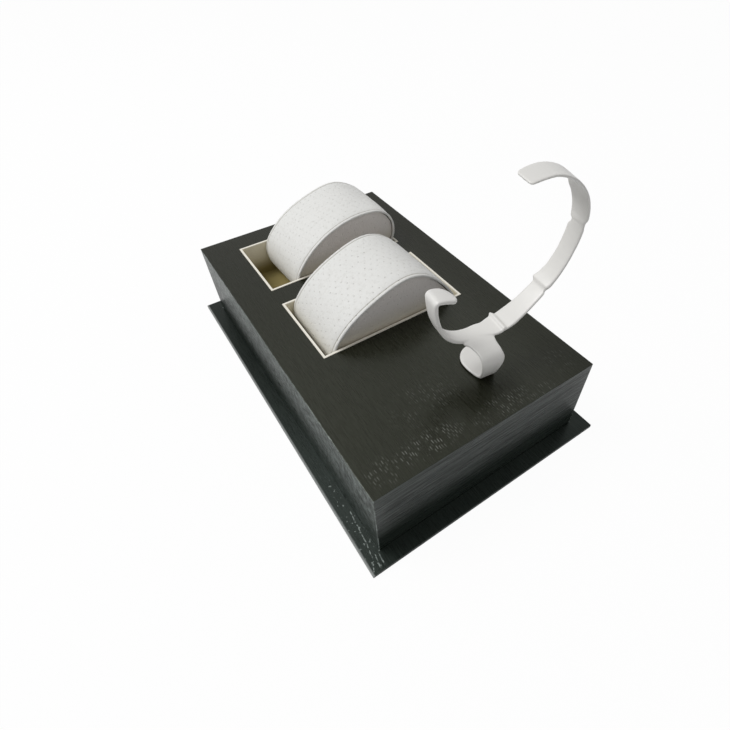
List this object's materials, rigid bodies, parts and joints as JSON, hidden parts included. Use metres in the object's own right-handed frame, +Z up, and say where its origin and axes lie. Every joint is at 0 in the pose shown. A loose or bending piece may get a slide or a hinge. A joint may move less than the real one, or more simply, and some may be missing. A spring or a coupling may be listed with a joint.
{
  "type": "watch display tray",
  "caption": "Black paper-covered display box on a wider base, with card-lined pockets holding half-moon watch pillows and a plastic C-ring watch stand.",
  "frame": {"origin": "centre of the base's underside, where it stands on a counter", "axes": "+X across the short side to the right, +Y along the long side away from the end with the ring, +Z up"},
  "size_m": [0.1448, 0.2256, 0.1465],
  "materials": {
    "greyboard": "matt grey cardboard",
    "black_paper": "black paper embossed with a wood grain, with a soft sheen",
    "ivory_card": "matt ivory card",
    "white_leatherette": "white leatherette with a fine embossed dot",
    "foam": "matt upholstery foam",
    "white_plastic": "warm white moulded plastic with a soft gloss"
  },
  "bodies": {
    "root": {"bottom_sheet": "black_paper", "base_board": "greyboard", "base_wrap": "black_paper", "near_wall": "greyboard", "far_wall": "greyboard", "left_wall": "greyboard", "right_wall": "greyboard", "top_board": "greyboard", "body_wrap": "black_paper", "near_liner": "ivory_card", "far_liner": "ivory_card", "near_pillow_band": "white_leatherette", "near_pillow_near_panel": "white_leatherette", "near_pillow_far_panel": "white_leatherette", "near_pillow_core": "foam", "far_pillow_band": "white_leatherette", "far_pillow_near_panel": "white_leatherette", "far_pillow_far_panel": "white_leatherette", "far_pillow_core": "foam", "watch_ring": "white_plastic"}
  },
  "joints": []
}
